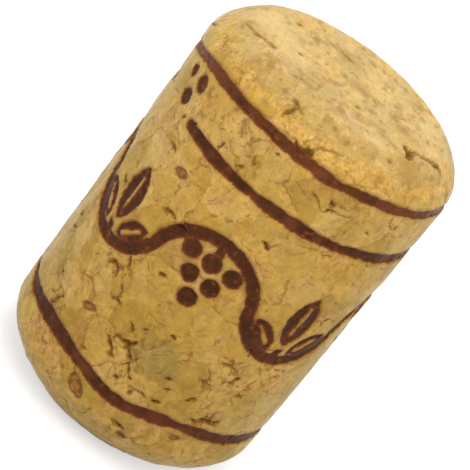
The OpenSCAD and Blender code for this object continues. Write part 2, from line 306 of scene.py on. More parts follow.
# Cracks, pits and granule tints
# A crack is (across, up, length, tilt, bow, half width). Across is measured round the barrel from the front.
sideCracks = [
    (-5.2, 21.5, 1.3, 4, 0.1, 0.17), (-3.8, 21.3, 1.3, 15, 0.12, 0.17), (-6.2, 16.0, 2.2, -24, 0.4, 0.15),
    (-6.9, 14.7, 0.9, 50, 0, 0.12), (-6.35, 14.7, 1.2, -35, 0.1, 0.22), (-5.9, 14.2, 0.7, -60, 0, 0.13),
    (-14.1, 13.5, 1.2, 30, 0.1, 0.15), (-13.8, 12.5, 1.1, 18, 0, 0.12), (-10.8, 10.0, 1.0, -15, 0, 0.08),
    (-4.5, 13.6, 1.0, -60, 0, 0.09), (-4.15, 12.85, 0.8, -20, 0, 0.11), (-4.6, 12.7, 0.6, 50, 0, 0.09),
    (1.1, 13.6, 0.5, -40, 0, 0.11), (-1.0, 12.7, 0.6, 35, 0, 0.1), (-2.0, 12.0, 0.9, -70, 0.1, 0.1),
    (-2.2, 10.55, 1.2, 3, 0, 0.12), (-1.35, 10.35, 1.3, -45, 0.1, 0.26), (-1.1, 10.95, 0.7, 70, 0, 0.17),
    (-2.6, 9.4, 1.9, -42, 0.1, 0.12), (-2.0, 8.85, 0.8, -10, 0, 0.11), (-0.7, 9.9, 0.8, -45, 0, 0.15),
    (-0.15, 9.0, 1.9, -52, -0.1, 0.11), (0.4, 8.25, 0.4, 0, 0, 0.17), (-0.55, 7.65, 0.5, 20, 0, 0.15),
    (2.95, 10.2, 0.6, 35, 0, 0.2), (3.4, 9.35, 0.4, 30, 0, 0.13), (5.6, 9.45, 0.9, 35, 0.1, 0.16),
    (5.4, 11.35, 0.8, -35, 0.1, 0.13), (5.9, 11.55, 0.9, 5, 0, 0.08), (6.6, 13.7, 1.9, -12, 0.15, 0.09),
    (7.85, 12.75, 0.8, 60, 0, 0.19), (7.5, 12.3, 1.0, 25, 0, 0.11), (9.2, 11.9, 0.7, 30, 0, 0.1),
    (9.2, 11.3, 0.8, -8, 0, 0.1), (8.4, 8.5, 0.9, -85, 0, 0.18), (8.1, 7.9, 1.9, 8, 0.1, 0.28),
    (7.1, 7.7, 1.1, -15, 0, 0.13), (9.1, 8.1, 0.8, 40, 0, 0.14),
    (1.75, 7.65, 1.3, 8, 0.15, 0.1), (1.2, 7.3, 0.7, 60, 0.1, 0.09), (3.25, 7.85, 0.7, 20, 0, 0.15),
    (-4.2, 7.45, 0.4, 0, 0, 0.14), (-9.1, 8.3, 1.3, 55, 0.1, 0.11), (-9.4, 7.7, 0.8, 60, 0, 0.09),
    (1.9, 4.0, 1.7, -14, 0.1, 0.15), (2.7, 3.4, 1.0, 8, 0, 0.12), (-4.1, 5.7, 1.0, -35, 0.1, 0.12),
    (3.15, 30.35, 1.3, -43, 0.1, 0.06), (4.55, 30.7, 0.7, -45, 0, 0.13), (4.85, 30.1, 0.8, 8, 0, 0.15),
    (4.4, 29.9, 1.7, 3, -0.1, 0.02), (5.9, 30.25, 1.3, 20, 0, 0.03), (10.7, 30.7, 1.1, -5, 0, 0.04),
    (11.1, 30.8, 0.4, 0, 0, 0.15), (8.9, 29.6, 0.5, -60, 0, 0.12), (-1.2, 31.5, 0.4, 0, 0, 0.12),
    (-2.4, 29.75, 0.8, -75, 0.1, 0.07), (-2.9, 28.6, 0.8, 50, 0, 0.08), (-5.15, 28.7, 1.0, 85, 0.1, 0.14),
    (0.5, 32.95, 1.0, 8, 0.1, 0.24), (-0.5, 33.05, 0.7, -30, 0, 0.14), (1.75, 33.8, 2.1, 17, 0.15, 0.06),
    (7.2, 15.7, 0.9, -60, 0.1, 0.14), (11.2, 13.8, 1.1, 35, 0.1, 0.12), (-8.6, 28.0, 0.6, 40, 0, 0.1),
    (-10.1, 27.5, 0.35, 0, 0, 0.17), (2.4, 24.75, 1.1, -38, 0.1, 0.13), (7.0, 26.4, 0.8, 10, 0, 0.08),
    (11.8, 20.4, 1.0, 50, 0.1, 0.12), (-11.3, 19.6, 1.0, -25, 0.1, 0.12), (-2.6, 17.3, 0.8, 10, 0, 0.11),
]
headCracks = [
    (-7.4, -4.6, 2.1, -8, 0, 0.24), (-8.95, -3.7, 2.0, -43, 0, 0.04),
    (6.65, -4.5, 1.1, 60, 0, 0.46), (6.85, -5.4, 1.0, 85, 0, 0.3),
    (7.8, -3.7, 1.8, 23, 0, 0.24), (8.9, -3.05, 1.5, 40, 0, 0.24), (9.6, -2.5, 0.8, 17, 0, 0.24),
    (-2.6, -9.85, 0.7, -36, 0.1, 0.13), (-2.4, -10.3, 0.8, 88, -0.1, 0.14),
    (-1.95, -10.15, 1.0, -12, 0, 0.07),
    (-2.6, -10.65, 0.5, 20, 0, 0.17), (-3.5, -6.8, 1.1, 46, 0, 0.09), (-1.8, 3.85, 1.3, -18, 0.1, 0.09),
    (3.3, -6.9, 0.9, -40, 0, 0.08), (-4.7, -2.15, 0.5, 10, 0, 0.12), (-6.4, 3.1, 0.7, 60, 0, 0.12),
    (5.95, -7.85, 0.4, 30, 0, 0.08), (1.4, -3.75, 0.4, 15, 0, 0.1), (-1.9, -3.4, 0.5, -40, 0, 0.08),
]
# Soft dark spots in the head: (x, y, reach, amount)
headSpots = [
    (5.3, -1.6, 0.65, 1.0), (0.25, -6.9, 0.5, 0.8), (0.3, -0.2, 1.0, 0.5), (1.1, -0.25, 0.4, 0.5),
    (-3.2, -1.65, 0.35, 0.9), (-3.9, -7.2, 0.5, 0.7), (6.25, 3.05, 0.45, 0.9), (4.0, 1.6, 0.4, 0.8),
    (-4.3, 3.05, 0.45, 0.7), (-3.6, 4.2, 0.45, 0.7), (-2.15, -1.8, 0.35, 0.7), (-2.45, -5.45, 0.4, 0.7),
    (-6.4, 3.1, 0.5, 0.5), (2.25, 0.05, 0.35, 0.7), (7.0, -6.2, 1.1, 0.5), (5.45, 4.8, 0.6, 0.7),
    (2.4, -2.6, 0.7, 0.4), (-2.0, 1.4, 0.8, 0.4), (8.0, 1.5, 0.5, 0.5), (-4.0, -10.1, 0.4, 0.6),
    (-3.8, -9.3, 0.35, 1.0), (4.6, -9.0, 0.4, 0.8), (-1.2, 3.7, 0.4, 0.8), (-2.4, 4.1, 0.5, 0.6),
    (-6.6, -7.6, 0.7, 0.4), (3.5, -4.6, 0.6, 0.4),
]
# Soft tones in the head, above nothing for brown and below it for pale: (x, y, reach, amount)
headTones = [
    (-7.5, -0.6, 2.4, -1.0), (-4.5, -3.6, 1.6, -0.8), (3.9, -7.2, 1.5, -0.8), (7.2, 1.8, 1.6, -0.8),
    (-8.1, -6.6, 1.3, -0.6), (1.2, 4.8, 1.0, -0.6), (-2.4, -3.6, 1.3, 0.8), (-1.2, 3.9, 1.5, 0.8),
    (5.7, -2.1, 1.4, 0.8), (0.6, 0.0, 1.2, 0.8), (2.4, -5.4, 1.3, 0.7), (7.8, -6.4, 1.5, 0.9),
    (5.4, 4.8, 1.0, 0.6), (-6.3, 3.9, 0.8, 0.6), (-1.5, -7.6, 1.2, 0.5), (-5.2, -8.2, 1.2, 0.4),
]
# Flaws on the back keep to the bare bands between the marks, each band (middle, reach).
backFlaws = {
    "count": 16, "start": 90, "turn": 180, "step": 111.25, "swayStep": 110,
    "bands": [(3.6, 1.1), (11.0, 2.6), (25.1, 0.9), (29.9, 0.9)],
    "length": (1.3, 0.3), "halfWidth": (0.185, 0.03), "tilt": 50,
}
scattered = {
    "sideCount": 80, "footCount": 30,
    "clearFront": 16.5,        # to each side of the front, which has cracks of its own
    "sideMargin": 1.0, "footMargin": 1.5,
    "length": (0.4, 1.5), "halfWidth": (0.07, 0.17), "bow": 0.2, "tilt": 35,
}
cracking = {
    "depth": 0.34,
    "wall": (0.04, -0.14),              # distances from a crack's edge where its wall starts and ends
    "wander": (1.0, 2, 0.34),           # scale per mm, detail, reach
    "thinFrom": 0.3, "thinSlope": 3,    # past this distance its half width shrinks
    "farthest": 1.0, "noCrack": -2,     # distance and half width kept where no crack is near
}
zones = {
    "sideRimShare": 0.8,                      # share of the head's rim where the side's flaws go on
    "headIn": 0.4, "footIn": 0.8,             # in from the wall, where the flaws of the ends stop
    "headRimIn": 0.2, "headRimOut": 0.6,      # over the head rim's start and under the head: cut is 0 and 1
    "footRimShare": 0.35, "footRimOut": 0.1,  # share of the foot's rim, and height over the foot
}
# Brown bark pockets: (across, up, half length, half height, tilt)
pockets = [(-6.05, 10.4, 0.8, 0.38, 22), (-2.8, 4.5, 1.15, 0.62, -38), (6.65, 5.4, 0.5, 0.4, 0),
           (-6.7, 24.5, 0.75, 0.45, 15), (-8.85, 25.35, 0.5, 0.2, -25)]
backPocket = {"count": 14, "across": 37, "up": (3, 33), "halfLength": (0.4, 0.9), "halfHeight": (0.3, 0.5),
              "tilt": 90}
# Pits in the head: (x, y, half length, half height, tilt)
headPits = [(6.75, -4.6, 0.66, 0.52, 60), (6.9, -5.45, 0.5, 0.32, 85)]
# Stretches where the joints gape: (across, up, reach, amount)
gapes = [(-6.4, 14.6, 1.2, 0.5), (-1.5, 10.2, 1.9, 1.0), (0.6, 8.2, 1.5, 0.7), (6.9, 13.0, 1.6, 0.8),
         (4.2, 9.0, 1.6, 0.6), (5.4, 11.4, 1.2, 0.7), (9.2, 11.6, 1.1, 0.7), (4.4, 30.3, 1.2, 0.4),
         (0.4, 33.0, 1.0, 0.6), (-13.8, 13.0, 1.3, 0.6), (8.0, 8.0, 1.2, 0.8), (-3.2, 5.4, 1.6, 0.5),
         (2.2, 3.8, 1.5, 0.6), (6.6, 5.4, 1.0, 0.6), (-4.5, 21.5, 1.3, 0.6), (11.0, 14.0, 1.5, 0.4),
         (-9.2, 8.2, 1.0, 0.5)]
# Joints gape where a noise is above its level, and in those stretches
gaping = {
    "scale": 0.16, "detail": 2, "shift": 50, "gain": 1.9, "level": 0.42,
    "frontTurn": 100, "heights": [15, 25], "shares": [0.65, 0.3],    # of the noise, by height on the front
    "listedShare": 0.62,
    "backShare": 0.6, "backMore": 0.12, "backFrom": 0.1,             # of the noise, and added from there
    "cutLoss": 0.65,
}
# Soft tones in the burnt rings, above nothing for red and below it for dark: (across, up, reach, amount)
charTones = [
    (-9.2, 32.2, 1.8, 0.5), (-6.3, 32.4, 0.8, -0.8), (-4.4, 32.4, 0.4, -0.6), (-1.4, 32.4, 0.8, 0.4),
    (2.2, 32.3, 0.7, 0.9), (8.5, 32.3, 1.2, 0.5), (10.6, 32.2, 1.2, 0.9), (12.4, 32.1, 0.8, 0.4),
    (-5.6, 27.5, 1.2, 0.4), (-3.75, 27.5, 0.5, 0.5), (-0.7, 27.5, 0.6, 0.6), (2.9, 27.4, 0.8, 0.8),
    (5.6, 27.4, 0.5, 0.8), (8.8, 27.5, 1.3, -0.5), (13.2, 27.2, 1.3, 0.7),
    (-4.4, 6.5, 0.7, 0.5), (-2.9, 6.3, 0.8, 0.7), (0.4, 5.9, 0.4, 0.4), (1.8, 6.0, 0.9, 0.6),
    (4.2, 6.4, 1.3, 0.7), (6.3, 6.7, 0.9, 0.4), (7.6, 6.7, 0.7, 0.4), (9.5, 6.6, 0.8, 0.4),
]
charFrontTurn = 90          # to each side of the front
# Granules of another tint: (across, up, reach, amount)
oliveSpots = [(1.15, 11.1, 2.0, 1.0), (-11.6, 9.2, 2.0, 0.4), (10.3, 9.9, 2.6, 0.3), (3.4, 4.6, 1.5, 0.4),
              (-10.5, 26.2, 1.8, 0.3), (7.1, 29.4, 1.5, 0.4), (3.9, 25.9, 1.6, 0.4)]
oliveEdge = (1.12, 0.84)    # shares of the reach where the tint starts and is full


def alongAcross(x, y, place, tilt):
    # coordinates along and across a line through place, tilted by that many degrees:
    # dx cos + dy sin and dy cos - dx sin
    lean = math.radians(tilt)
    dx, dy = x - place[0], y - place[1]
    return dx * math.cos(lean) + dy * math.sin(lean), dy * math.cos(lean) - dx * math.sin(lean)


def crackPlace(x, y, crack):
    # signed distance to a bowed line, and its half width there, which shrinks as
    # sqrt(1 - (2u/length)^2) to the ends and falls below nothing past them
    u, v = alongAcross(x, y, crack[:2], crack[3])
    share = np.clip(np.abs(u) * 2 / crack[2], 0, 1)
    past = np.clip(np.abs(u) - crack[2] / 2, 0, None)
    return v - crack[4] * (1 - share ** 2), crack[5] * np.sqrt(1 - share ** 2) - past


def pocketDistance(x, y, spot):
    # about how far outside an ellipse: (sqrt((u/a)^2 + (v/b)^2) - 1) b
    u, v = alongAcross(x, y, spot[:2], spot[4])
    return (np.hypot(u / spot[2], v / spot[3]) - 1) * spot[3]


def spots(listed, x, y):
    # sum of amount x exp(-(distance / reach)^2)
    return sum(amount * np.exp(-(np.square(x - x0) + np.square(y - y0)) / reach ** 2)
               for x0, y0, reach, amount in listed)


def backCracks():
    # flaw i is i steps round the back, and i sway steps round a circle that varies its place and size
    made = []
    for i in range(backFlaws["count"]):
        middle, reach = backFlaws["bands"][i % len(backFlaws["bands"])]
        rise = math.sin(math.radians(i * backFlaws["swayStep"]))
        sway = math.cos(math.radians(i * backFlaws["swayStep"]))
        place = wrapped(backFlaws["start"] + i * backFlaws["step"] % backFlaws["turn"])
        (length, longer), (halfWidth, thinner) = backFlaws["length"], backFlaws["halfWidth"]
        made.append((math.radians(place) * barrelRadius, middle + reach * rise, length + longer * sway,
                     backFlaws["tilt"] * rise * sway, 0.0, halfWidth - thinner * sway))
    return made


def scatterCracks(count, place, random):
    # cracks at random places that place() allows, with random sizes
    made = []
    while len(made) < count:
        spot = place(random)
        if spot is not None:
            made.append((*spot, random.uniform(*scattered["length"]), random.normal(0, scattered["tilt"]),
                         random.uniform(-1, 1) * scattered["bow"], random.uniform(*scattered["halfWidth"])))
    return made


def sideSpot(random):
    # a place on the side, or None at the front
    margin = scattered["sideMargin"]
    spot = (math.radians(random.uniform(-180, 180)) * barrelRadius,
            random.uniform(margin, stopperHeight - margin))
    return spot if abs(spot[0]) > scattered["clearFront"] else None


def footSpot(random):
    # a place on the foot, or None outside its circle
    spot = random.uniform(-1, 1, 2) * barrelRadius
    return spot if math.hypot(*spot) < barrelRadius - scattered["footMargin"] else None


random = np.random.RandomState(cork["seed"])
scale, detail, reach = cracking["wander"]
wander = reach * (noiseAt(rest, scale, detail, "Color") - 0.5)
across = barrelRadius * np.radians(wrapped(turn)) + wander[..., 0]
up = height + wander[..., 1]
endX, endY = rest[..., 0] + wander[..., 0], rest[..., 1] + wander[..., 1]
isUpper = rowHeight > stopperHeight / 2
onSide = rowRadius > barrelRadius - cork["headRim"] * zones["sideRimShare"]
onHead = isUpper & (rowRadius < barrelRadius - zones["headIn"])
onFoot = ~isUpper & (rowRadius < barrelRadius - zones["footIn"])

# crackAway is the distance outside the nearest crack, and crackLine its signed distance and half width
crackAway = np.full_like(turn, cracking["farthest"])
crackLine = np.zeros((*turn.shape, 3))
for rows, x, y, cracks in [
        (onSide, across, up, sideCracks + backCracks()
         + scatterCracks(scattered["sideCount"], sideSpot, random)),
        (onHead, endX, endY, headCracks),
        (onFoot, endX, endY, scatterCracks(scattered["footCount"], footSpot, random))]:
    for crack in cracks:
        aside, halfWidth = crackPlace(x[rows], y[rows], crack)
        away = np.abs(aside) - halfWidth
        nearer = away < crackAway[rows]
        halfWidth -= cracking["thinSlope"] * np.clip(away - cracking["thinFrom"], 0, None)
        crackAway[rows] = np.where(nearer, away, crackAway[rows])
        crackLine[rows, :, 0] = np.where(nearer, aside, crackLine[rows, :, 0])
        crackLine[rows, :, 1] = np.where(nearer, halfWidth, crackLine[rows, :, 1])
crackLine[..., 1] = np.where(crackAway < cracking["farthest"], crackLine[..., 1], cracking["noCrack"])

pocket = np.full_like(turn, cracking["farthest"])
backPockets = [(random.uniform(-1, 1) * backPocket["across"], random.uniform(*backPocket["up"]),
                random.uniform(*backPocket["halfLength"]), random.uniform(*backPocket["halfHeight"]),
                random.uniform(-1, 1) * backPocket["tilt"]) for _ in range(backPocket["count"])]
for spot in pockets + [spot for spot in backPockets if abs(spot[0]) > scattered["clearFront"]]:
    pocket = np.minimum(pocket, pocketDistance(across, up, spot))
for spot in headPits:
    pocket[onHead] = np.minimum(pocket[onHead], pocketDistance(endX[onHead], endY[onHead], spot))

# cut is 0 on the side, and 1 on the flat of the ends, where the granules are cut across
fromFront = np.abs(wrapped(turn))
onFront = fromFront < gaping["frontTurn"]
headStart = stopperHeight - cork["headRim"] + zones["headRimIn"]
cut = np.where(isUpper[:, None], smooth(height, headStart, stopperHeight - zones["headRimOut"]),
               smooth(height, cork["footRim"] * zones["footRimShare"], zones["footRimOut"]))
gapeNoise = noiseAt(rest + gaping["shift"], gaping["scale"], gaping["detail"])
gape = np.clip(gaping["gain"] * (gapeNoise - gaping["level"]), 0, 1)
gape *= np.where(onFront, np.interp(height, gaping["heights"], gaping["shares"]), gaping["backShare"])
gape += np.where(onFront, gaping["listedShare"] * spots(gapes, across, height),
                 gaping["backMore"] * (gape > gaping["backFrom"]))
gape = np.clip(gape, 0, 1) * (1 - gaping["cutLoss"] * cut)
olive = np.max([amount * smooth(np.hypot(across - x0, up - y0) / reach, *oliveEdge)
                for x0, y0, reach, amount in oliveSpots], 0)
headSpot = np.where(onHead[:, None], np.clip(spots(headSpots, endX, endY), 0, 1), 0)
headTone = np.where(onHead[:, None], spots(headTones, endX, endY), 0)
charTone = np.where(fromFront < charFrontTurn, spots(charTones, across, height), 0)
print("cracks, pockets and granule tints placed")


# Relief and mesh
relief = {
    # scale per mm, detail, shift of the points
    "noises": {"swell": (0.13, 1, 0), "crumb": (0.9, 3, 0), "cutCrumb": (0.7, 4, 20), "chip": (0.55, 3, 80),
               "burnFloor": (1.8, 2, 0)},
    "swell": 0.16,
    "granuleStep": 0.07, "granuleEdge": 0.5,
    "joint": 0.16, "jointReach": 0.22, "fragmentShare": 0.6,
    "crumb": 0.10, "crumbCutLoss": 0.5, "cutCrumb": 0.22,
    "crumbLevel": 0.3,                   # noise under this raises the surface
    "chip": 0.3, "chipEdge": (0.42, 0.8),
    "pocket": 0.25, "pocketWall": (0.12, -0.2),
    "skinCuts": (0.01, 0.9),             # values of cut under which is side, and over which is end
    "sideSkin": 0.5, "endSkin": 15,      # percentages of the side and the ends left at the stock's skin
    "deepest": 1.0,
}


def reliefDepth():
    # how far each point lies under the stock's surface, along its normal: the sum of each feature's depth x
    # how much of it is at the point
    rim = 4 * cut * (1 - cut)
    noise = {name: noiseAt(rest + shift, scale, detail)
             for name, (scale, detail, shift) in relief["noises"].items()}
    depth = relief["swell"] * noise["swell"]
    depth += relief["granuleStep"] * granuleRandom[..., 0] * smooth(granuleAway, 0, relief["granuleEdge"])
    for distance, share in ((granuleAway, 1), (fragmentAway, relief["fragmentShare"])):
        depth += relief["joint"] * share * gape * np.exp(-(distance / relief["jointReach"]) ** 2)
    depth += relief["crumb"] * (noise["crumb"] - relief["crumbLevel"]) * (1 - relief["crumbCutLoss"] * cut)
    depth += relief["cutCrumb"] * (noise["cutCrumb"] - relief["crumbLevel"]) * cut
    depth += relief["chip"] * smooth(noise["chip"], *relief["chipEdge"]) * rim
    depth += cracking["depth"] * smooth(crackAway, *cracking["wall"])
    depth += relief["pocket"] * smooth(pocket, *relief["pocketWall"])
    burnFloor = burn["floorLeast"] + burn["floorRough"] * noise["burnFloor"]
    depth += burn["depth"] * smooth(burnField, *burn["wall"]) * burnFloor
    sideCut, endCut = relief["skinCuts"]
    sideSkin = np.percentile(depth[cut < sideCut], relief["sideSkin"])
    endSkin = np.percentile(depth[cut > endCut], relief["endSkin"])
    return depth - sideSkin - (endSkin - sideSkin) * cut


depth = np.clip(reliefDepth(), 0, relief["deepest"])
surface = rest - outward * depth[..., None]
surface[..., 2] = np.clip(surface[..., 2], 0, stopperHeight)


def gridMesh(name, points):
    # quads (i, j), (i, j + 1), (i + 1, j + 1), (i + 1, j) between neighbouring rows i and columns j, closed
    # round the axis, and a fan to a pole at each end
    rows, columns = points.shape[:2]
    index = np.arange(rows * columns).reshape(rows, columns)
    beside = np.roll(index, -1, 1)
    quads = np.stack([index[:-1], beside[:-1], beside[1:], index[1:]], -1).reshape(-1, 4)
    footPole, headPole = rows * columns, rows * columns + 1
    footFan = np.stack([beside[0], index[0], np.full(columns, footPole)], -1)
    headFan = np.stack([index[-1], beside[-1], np.full(columns, headPole)], -1)
    poles = np.array([points[0].mean(0), points[-1].mean(0)])
    mesh = bpy.data.meshes.new(name)
    mesh.from_pydata(np.concatenate([points.reshape(-1, 3), poles]) * millimetre, [],
                     quads.tolist() + footFan.tolist() + headFan.tolist())
    mesh.polygons.foreach_set("use_smooth", np.ones(len(mesh.polygons), bool))
    return mesh


def addAttribute(mesh, name, values):
    # stores one number or one vector for each vertex, and the nearest row's mean at the poles
    ends = np.stack([values[0].mean(0), values[-1].mean(0)])
    flat = np.concatenate([values.reshape(-1, *values.shape[2:]), ends]).astype(np.float32)
    isVector = flat.ndim == 2
    made = mesh.attributes.new(name, "FLOAT_VECTOR" if isVector else "FLOAT", "POINT")
    made.data.foreach_set("vector" if isVector else "value", flat.ravel())


corkMesh = gridMesh("corkBody", surface)
fields = {"restPlace": rest, "burnField": burnField, "crackLine": crackLine, "pocket": pocket, "gape": gape,
          "olive": olive, "cut": cut, "headSpot": headSpot, "headTone": headTone, "charTone": charTone}
for name, values in fields.items():
    addAttribute(corkMesh, name, values)
corkBody = bpy.data.objects.new("corkBody", corkMesh)
bpy.context.scene.collection.objects.link(corkBody)
print(f"cork meshed: {len(corkMesh.polygons)} faces, relief up to {depth.max():.2f} mm")


# Material of the cork
def tone(red, green, blue):
    # a colour given as screen values from 0 to 255, made linear: ((v + 0.055) / 1.055) ^ 2.4, or v / 12.92
    # where it is dark
    return (*[v / 12.92 if v <= 0.04045 else ((v + 0.055) / 1.055) ** 2.4
              for v in (red / 255, green / 255, blue / 255)], 1)


corkLook = {
    "granules": [(0.0, tone(195, 152, 72)), (0.2, tone(204, 159, 70)), (0.4, tone(214, 168, 80)),
                 (0.6, tone(218, 172, 88)), (0.8, tone(221, 180, 102)), (1.0, tone(214, 165, 75))],
    "olive": tone(181, 150, 76), "pink": tone(228, 173, 108), "green": tone(200, 169, 74),
    # painted bounce light from the floor, paling the foot
    "footPale": tone(240, 204, 128),
    # painted pale sheen where the side turns away to the left and right
    "leftPaintedSheen": (1.0, 1.1, 1.35, 1), "rightPaintedSheen": (1.0, 1.07, 1.15, 1),    # multiply the flanks' colour
    # the pale tone beside gaping joints is a painted highlight on their lit edges
    "joint": tone(146, 100, 36), "gap": tone(116, 76, 26), "paintedJointHighlight": tone(224, 180, 102),
    "hollow": tone(150, 102, 38), "hollowDeep": tone(121, 78, 26),
    "pocket": tone(176, 118, 62), "pocketDark": tone(102, 60, 32), "speck": tone(140, 98, 52),
    "cutPale": tone(220, 183, 109), "cutGrey": tone(203, 174, 115), "cutWarm": tone(206, 161, 77),
    "cutFront": tone(184, 150, 84), "cutDark": tone(164, 126, 60), "cutGreen": tone(194, 170, 94),
    "cutPink": tone(226, 184, 120), "cutBrown": tone(186, 144, 74), "cutLight": tone(222, 195, 130),
    "cutSpot": tone(140, 106, 48), "cutHollow": tone(158, 117, 54), "cutHollowDeep": tone(130, 92, 36),
    "rim": tone(224, 174, 84), "rimPale": tone(240, 202, 132), "rimDark": tone(158, 108, 42),
    # painted shade: char made darker on the rings' flanks, against the sheen there
    "burn": tone(76, 43, 21), "burnPale": tone(112, 63, 32), "burnFlank": tone(62, 36, 8),
    "burnFleck": tone(146, 80, 50), "scorch": tone(134, 68, 34),
    "roughness": 0.8, "cutRoughness": 0.15, "burnRoughness": -0.12,        # the last two are added to it
    "sheen": 0.68, "sheenRoughness": 0.3, "sheenTint": tone(250, 240, 224), "specular": 0.08,
}
# Noises that the colours and the fine relief read: (scale per mm, detail, roughness where it isn't 0.5)
noises = {
    "hue": (0.5, 4, 0.6), "mottle": (0.9, 4, 0.6), "speckle": (4, 3, 0.6), "patch": (0.7, 4),
    "fleck": (1.4, 4, 0.6), "rimBlot": (0.9, 4), "line": (1.1, 3, 0.6), "linePatch": (0.6, 3),
    "thin": (1.7, 3), "ragged": (3.2, 3), "jag": (1.5, 2), "bark": (2.4, 2),
    "jointPatch": (0.5, 3), "jointSwell": (1, 4),
    "slowChar": (0.4, 2), "quickChar": (1.7, 4, 0.6), "charFleck": (1.5, 4, 0.6),
}
endNoises = {
    "crumb": (1.1, 4, 0.55), "blotch": (0.42, 4, 0.55), "bits": (1.4, 3, 0.55),
    "endDark": (0.8, 3), "endGreen": (0.55, 3),
}
endStretch = (1, 0.6, 1)    # the noises of the ends are longer along y
raggedReach = 0.3           # mm, how far the edges of joints, flaws and marks waver


class NodeWriter:
    # short names for the nodes that a material or the world is made of, starting with an empty tree
    def __init__(self, tree):
        self.tree = tree
        tree.nodes.clear()

    def node(self, kind, inputs=None, **settings):
        # adds a node, sets its fields, and links or fills its sockets by name or number
        made = self.tree.nodes.new(kind)
        for name, value in settings.items():
            setattr(made, name, value)
        for name, value in (inputs or {}).items():
            if isinstance(value, bpy.types.NodeSocket):
                self.tree.links.new(value, made.inputs[name])
            else:
                made.inputs[name].default_value = value
        return made

    def calc(self, operation, *values):
        # one step of arithmetic, by its node's name for it
        return self.node("ShaderNodeMath", dict(enumerate(values)), operation=operation).outputs[0]

    def plus(self, total, *values):
        # total + value + value ...
        for value in values:
            total = self.calc("ADD", total, value)
        return total

    def times(self, total, *values):
        # total x value x value ...
        for value in values:
            total = self.calc("MULTIPLY", total, value)
        return total

    def timesPlus(self, value, factor, added):
        # value x factor + added
        return self.calc("MULTIPLY_ADD", value, factor, added)

    def centred(self, value, reach):
        # (value - 0.5) x reach
        return self.times(self.calc("SUBTRACT", value, 0.5), reach)

    def fade(self, value, low, high, start=0.0, end=1.0):
        # start at low, end at high, and 3t^2 - 2t^3 of the way between
        return self.node("ShaderNodeMapRange", {"Value": value, "From Min": low, "From Max": high,
                                                "To Min": start, "To Max": end},
                         interpolation_type="SMOOTHSTEP").outputs[0]

    def vector(self, operation, *values):
        # one step of vector arithmetic; a dot product is one number
        made = self.node("ShaderNodeVectorMath", dict(enumerate(values)), operation=operation)
        return made.outputs["Value" if operation == "DOT_PRODUCT" else "Vector"]

    def vectorCentred(self, value, reach):
        # (value - 0.5) x reach for each of the three parts
        return self.vector("MULTIPLY", self.vector("SUBTRACT", value, (0.5, 0.5, 0.5)), (reach,) * 3)

    def axes(self, vector):
        return self.node("ShaderNodeSeparateXYZ", {"Vector": vector}).outputs

    def channels(self, colour):
        return self.node("ShaderNodeSeparateColor", {"Color": colour}).outputs

    def mix(self, amount, first, second, blendType="MIX"):
        # socket 0 is the amount, and 6 and 7 are the colours
        return self.node("ShaderNodeMix", {0: amount, 6: first, 7: second}, data_type="RGBA",
                         blend_type=blendType).outputs[2]

    def shaded(self, colour, shade):
        # colour x shade
        grey = self.node("ShaderNodeCombineColor", {0: shade, 1: shade, 2: shade}).outputs[0]
        return self.mix(1.0, colour, grey, "MULTIPLY")

    def attribute(self, name, output="Fac"):
        return self.node("ShaderNodeAttribute", attribute_name=name).outputs[output]

    def noise(self, vector, scale, detail, roughness=0.5, output="Fac"):
        return self.node("ShaderNodeTexNoise", {"Vector": vector, "Scale": scale, "Detail": detail,
                                                "Roughness": roughness}).outputs[output]

    def cells(self, vector, scale, feature="F1", **inputs):
        return self.node("ShaderNodeTexVoronoi", {"Vector": vector, "Scale": scale, **inputs},
                         feature=feature).outputs

    def jointAway(self, vector, scale):
        # distance to the nearest joint between cells, in mm: distance in cells / cells per mm
        return self.calc("DIVIDE", self.cells(vector, scale, "DISTANCE_TO_EDGE")["Distance"], scale)


def newMaterial(name):
    # an empty material and the writer of its nodes
    material = bpy.data.materials.new(name)
    material.use_nodes = True
    return material, NodeWriter(material.node_tree)


def readFields(nodes):
    # what the parts of the material read, by name
    at = {name: nodes.attribute(name) for name in fields if name not in ("restPlace", "crackLine")}
    place = nodes.attribute("restPlace", "Vector")
    at["x"], at["y"], at["z"] = nodes.axes(place)
    at["bent"] = place        # bent as the relief's coordinates are
    for scale, detail, reach in grain["bends"]:
        bend = nodes.vectorCentred(nodes.noise(place, scale, detail, output="Color"), reach)
        at["bent"] = nodes.vector("ADD", at["bent"], bend)
    at["shifted"] = nodes.vector("ADD", at["bent"], grain["fragmentShift"])
    at["granuleAway"] = nodes.jointAway(at["bent"], grain["granuleScale"])
    at["fragmentAway"] = nodes.jointAway(at["shifted"], grain["fragmentScale"])
    endPlace = nodes.vector("MULTIPLY", place, endStretch)
    at.update({name: nodes.noise(place, *values) for name, values in noises.items()})
    at.update({name: nodes.noise(endPlace, *values) for name, values in endNoises.items()})
    at["ragged"] = nodes.centred(at["ragged"], raggedReach)
    # 1 halfway round a worn rim, and 0 on the side and the flat of the ends
    at["rim"] = nodes.times(at["cut"], nodes.calc("SUBTRACT", 1.0, at["cut"]), 4.0)
    return at


# In the paints below, limits are the values of what is read at which a fade is 0 and 1, and after them what
# else the fade is there.
def fadesOf(nodes, at, paint):
    # the paint's fades by name, each listed as (what it reads, limits)
    return {name: nodes.fade(at[reads], *limits) for name, (reads, limits) in paint["fades"].items()}


def painted(nodes, at, colour, paint):
    # each layer is (what it reads, limits, tone, shares): colour + (tone - colour) x fade x shares
    for reads, limits, toneName, *shares in paint["layers"]:
        amount = nodes.times(nodes.fade(at[reads], *limits), *[at[share] for share in shares])
        colour = nodes.mix(amount, colour, corkLook[toneName])
    return colour


